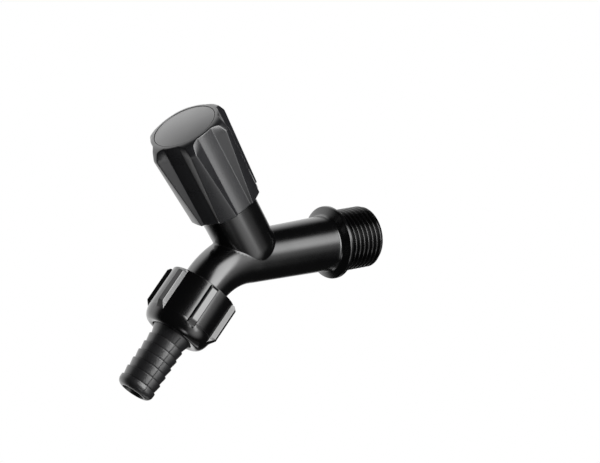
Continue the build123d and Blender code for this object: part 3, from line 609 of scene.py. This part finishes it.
floor_glossy = combined(
    floor_tree, "MULTIPLY", floor_path.outputs["Is Glossy Ray"], floor_behind.outputs["Result"])
floor_clear = combined(
    floor_tree, "MAXIMUM", floor_path.outputs["Is Camera Ray"], floor_path.outputs["Is Transmission Ray"])
floor_tree.links.new(combined(floor_tree, "MAXIMUM", floor_clear, floor_glossy), floor_mix.inputs["Fac"])
floor_tree.links.new(floor_tree.nodes["Principled BSDF"].outputs["BSDF"], floor_mix.inputs[1])
floor_tree.links.new(floor_glow.outputs["Emission"], floor_mix.inputs[2])
floor_tree.links.new(floor_mix.outputs["Shader"], floor_tree.nodes["Material Output"].inputs["Surface"])
floor.data.materials.append(floor_white)

world = bpy.data.worlds.new("white_surround")
bpy.context.scene.world = world
world.use_nodes = True
surround = world.node_tree
sky = surround.nodes["Background"]
sky.inputs["Color"].default_value = (1, 1, 1, 1)
path = surround.nodes.new("ShaderNodeLightPath")
facing = surround.nodes.new("ShaderNodeTexCoord")
toward = surround.nodes.new("ShaderNodeVectorMath")
toward.operation = "DOT_PRODUCT"
toward.inputs[1].default_value = (cos(backdrop_tilt) * cos(backdrop_turn), cos(backdrop_tilt) * sin(backdrop_turn),
                                  sin(backdrop_tilt))
surround.links.new(facing.outputs["Generated"], toward.inputs[0])
backdrop = surround.nodes.new("ShaderNodeMapRange")
backdrop.interpolation_type = "SMOOTHSTEP"
backdrop.inputs["From Min"].default_value, backdrop.inputs["From Max"].default_value = backdrop_edge
backdrop.inputs["To Min"].default_value, backdrop.inputs["To Max"].default_value = room_glow, backdrop_glow
surround.links.new(toward.outputs["Value"], backdrop.inputs["Value"])
mirrored = surround.nodes.new("ShaderNodeMix")
mirrored.inputs["A"].default_value = room_fill
surround.links.new(path.outputs["Is Glossy Ray"], mirrored.inputs["Factor"])
surround.links.new(backdrop.outputs["Result"], mirrored.inputs["B"])
seen = combined(surround, "MAXIMUM", path.outputs["Is Camera Ray"], path.outputs["Is Transmission Ray"])
surround.links.new(combined(surround, "MAXIMUM", seen, mirrored.outputs["Result"]), sky.inputs["Strength"])

lamp_aim, half_sheet = -0.04, 0.5


def softbox(name, azimuth, elevation, away, width, height, glow, fade):
    """A rectangular soft lamp that faces the tap from an azimuth and elevation in degrees, metres away, with the
    brightness glow in the middle of its sheet: watts are glow times pi times the sheet's area. Towards its edges the
    light fades to nothing, over the two shares of its width and height that fade gives."""
    lamp = bpy.data.lights.new(name, "AREA")
    lamp.shape, lamp.size, lamp.size_y = "RECTANGLE", width, height
    lamp.energy = glow * pi * width * height
    box = bpy.data.objects.new(name, lamp)
    bpy.context.scene.collection.objects.link(box)
    a, e = radians(azimuth), radians(elevation)
    box.location = (lamp_aim + away * cos(e) * cos(a), away * cos(e) * sin(a), away * sin(e))
    box.rotation_euler = (pi / 2 - e, 0, a + pi / 2)
    box.visible_camera = False
    lamp.use_nodes = True
    tree = lamp.node_tree
    sheet = tree.nodes.new("ShaderNodeNewGeometry")
    split = tree.nodes.new("ShaderNodeSeparateXYZ")
    tree.links.new(sheet.outputs["Parametric"], split.inputs["Vector"])
    ramps = []
    for side, share in enumerate(fade):
        edge = tree.nodes.new("ShaderNodeMath")
        edge.operation = "PINGPONG"
        edge.inputs[1].default_value = half_sheet
        tree.links.new(split.outputs[side], edge.inputs[0])
        ramp = tree.nodes.new("ShaderNodeMapRange")
        ramp.interpolation_type = "SMOOTHSTEP"
        ramp.inputs["From Max"].default_value = share
        tree.links.new(edge.outputs["Value"], ramp.inputs["Value"])
        ramps.append(ramp.outputs["Result"])
    tree.links.new(combined(tree, "MULTIPLY", *ramps), tree.nodes["Emission"].inputs["Strength"])


softbox("lamp_side", -89, 19.5, 0.6, 0.345, 0.9, 4.3, (0.08, 0.24))
softbox("lamp_side_edge", -51, 25, 0.6, 0.34, 0.56, 2.8, (0.35, 0.4))
softbox("lamp_wide", -74, 10, 0.6, 1.1, 0.9, 1.05, (0.5, 0.5))
softbox("lamp_low", -84, -31, 0.6, 0.82, 0.64, 1.08, (0.5, 0.5))
softbox("lamp_front", -80, -18, 0.6, 0.26, 0.23, 2.9, (0.5, 0.5))
softbox("lamp_low_left", -134, -40, 0.6, 0.26, 0.24, 2.6, (0.5, 0.5))
softbox("lamp_behind", 86, 38, 0.8, 0.6, 0.5, 0.33, (0.2, 0.2))

camera_sensor, camera_lens, camera_place = 36, 129.23, (-0.45378, -0.54581, 0.160312)
camera_tilt, camera_turn = radians(90 - 12.447), radians(-38.918)
camera_data = bpy.data.cameras.new("camera")
camera_data.sensor_width, camera_data.lens = camera_sensor, camera_lens
camera = bpy.data.objects.new("camera", camera_data)
bpy.context.scene.collection.objects.link(camera)
camera.location = camera_place
camera.rotation_euler = (camera_tilt, 0, camera_turn)
bpy.context.scene.camera = camera
bpy.context.scene.view_settings.view_transform = "Standard"
